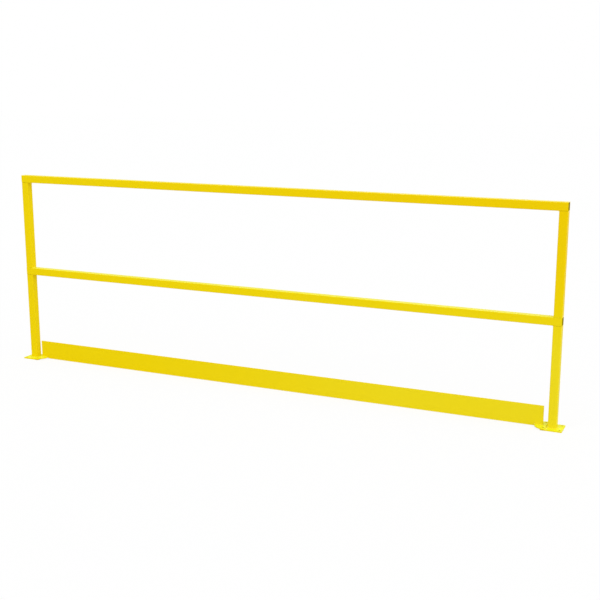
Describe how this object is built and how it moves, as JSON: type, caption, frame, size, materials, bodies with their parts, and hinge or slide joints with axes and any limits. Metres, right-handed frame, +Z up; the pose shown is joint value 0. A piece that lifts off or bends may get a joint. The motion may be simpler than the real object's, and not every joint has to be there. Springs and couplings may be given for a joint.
{
  "type": "guard rail",
  "caption": "Welded square-tube guard rail section: top rail and mid rail on end posts, with drilled base plates and a toe board that stands on half-round feet.",
  "frame": {"origin": "on the floor under the middle of the section, level with the base plates' undersides", "axes": "+X along the rail, +Z up, -Y towards the side that the picture shows"},
  "size_m": [3.1096, 0.1142, 1.0668],
  "materials": {
    "yellow_paint": "satin",
    "painted_weld": "satin"
  },
  "bodies": {
    "root": {"top_rail": "yellow_paint", "mid_rail": "yellow_paint", "toe_board": "yellow_paint", "left_lower_post": "yellow_paint", "left_upper_post": "yellow_paint", "left_base_plate": "yellow_paint", "left_toe_foot": "yellow_paint", "right_lower_post": "yellow_paint", "right_upper_post": "yellow_paint", "right_base_plate": "yellow_paint", "right_toe_foot": "yellow_paint", "left_base_weld": "painted_weld", "left_lower_joint_weld": "painted_weld", "left_middle_joint_weld": "painted_weld", "left_top_joint_weld": "painted_weld", "left_toe_weld": "painted_weld", "right_base_weld": "painted_weld", "right_lower_joint_weld": "painted_weld", "right_middle_joint_weld": "painted_weld", "right_top_joint_weld": "painted_weld", "right_toe_weld": "painted_weld"}
  },
  "joints": []
}
